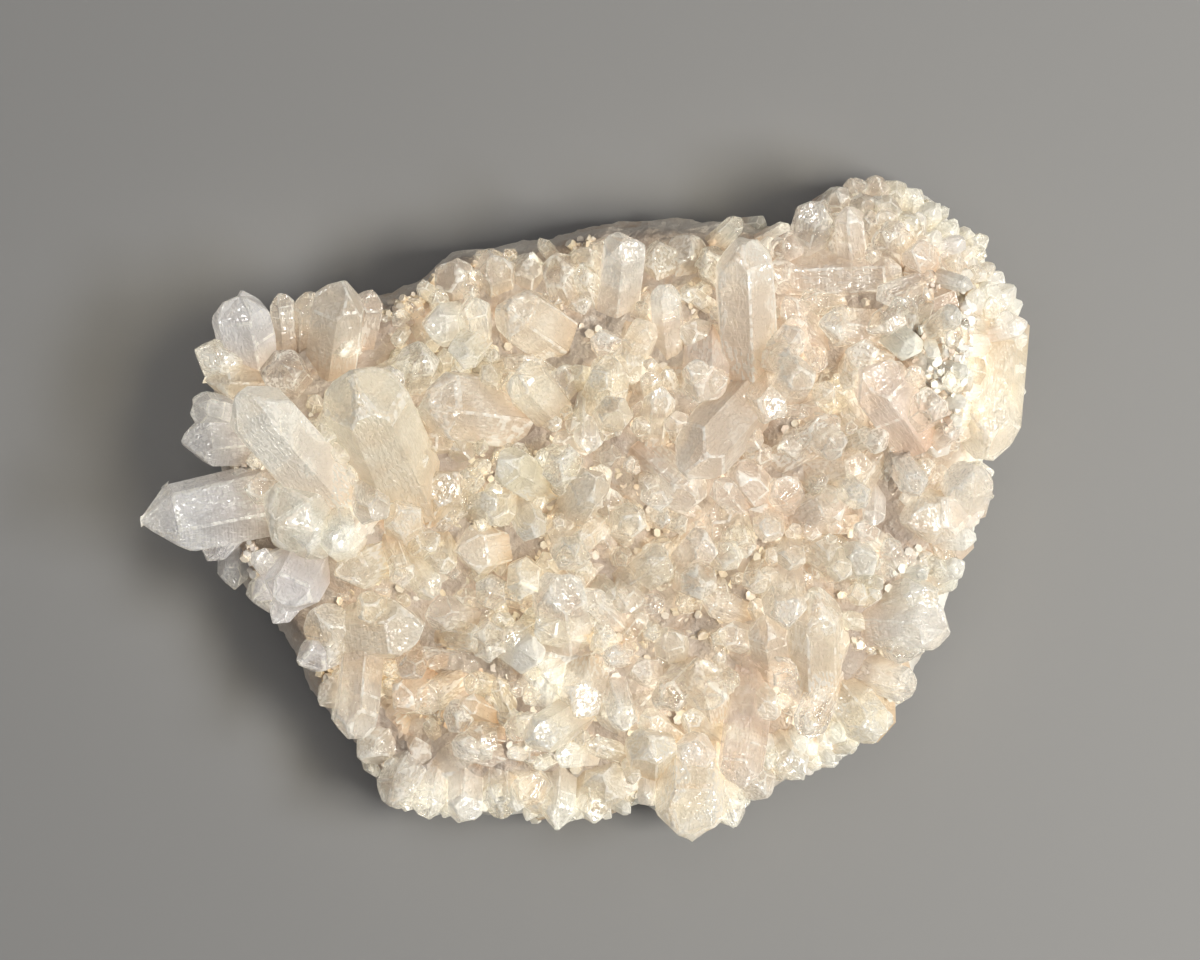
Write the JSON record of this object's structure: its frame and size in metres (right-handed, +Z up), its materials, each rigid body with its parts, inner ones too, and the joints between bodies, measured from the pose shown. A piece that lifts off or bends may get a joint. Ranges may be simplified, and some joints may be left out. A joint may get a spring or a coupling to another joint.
{
  "type": "clear quartz cluster",
  "caption": "Natural quartz cluster: clear to milky six-sided pointed crystals crowd a broad uneven plate of the same quartz, which rests on its flat broken underside.",
  "frame": {"origin": "on the resting face, under the middle of the cluster's box", "axes": "+X to the cluster's right, along its longest extent; +Y towards its back edge; +Z up, the way most crystals point"},
  "size_m": [0.1786, 0.1316, 0.0444],
  "materials": {
    "quartz": "clear to milky natural quartz, glossy crystal faces, warm iron tint in the crevices"
  },
  "bodies": {
    "root": {"quartz_cluster": "quartz"}
  },
  "joints": []
}
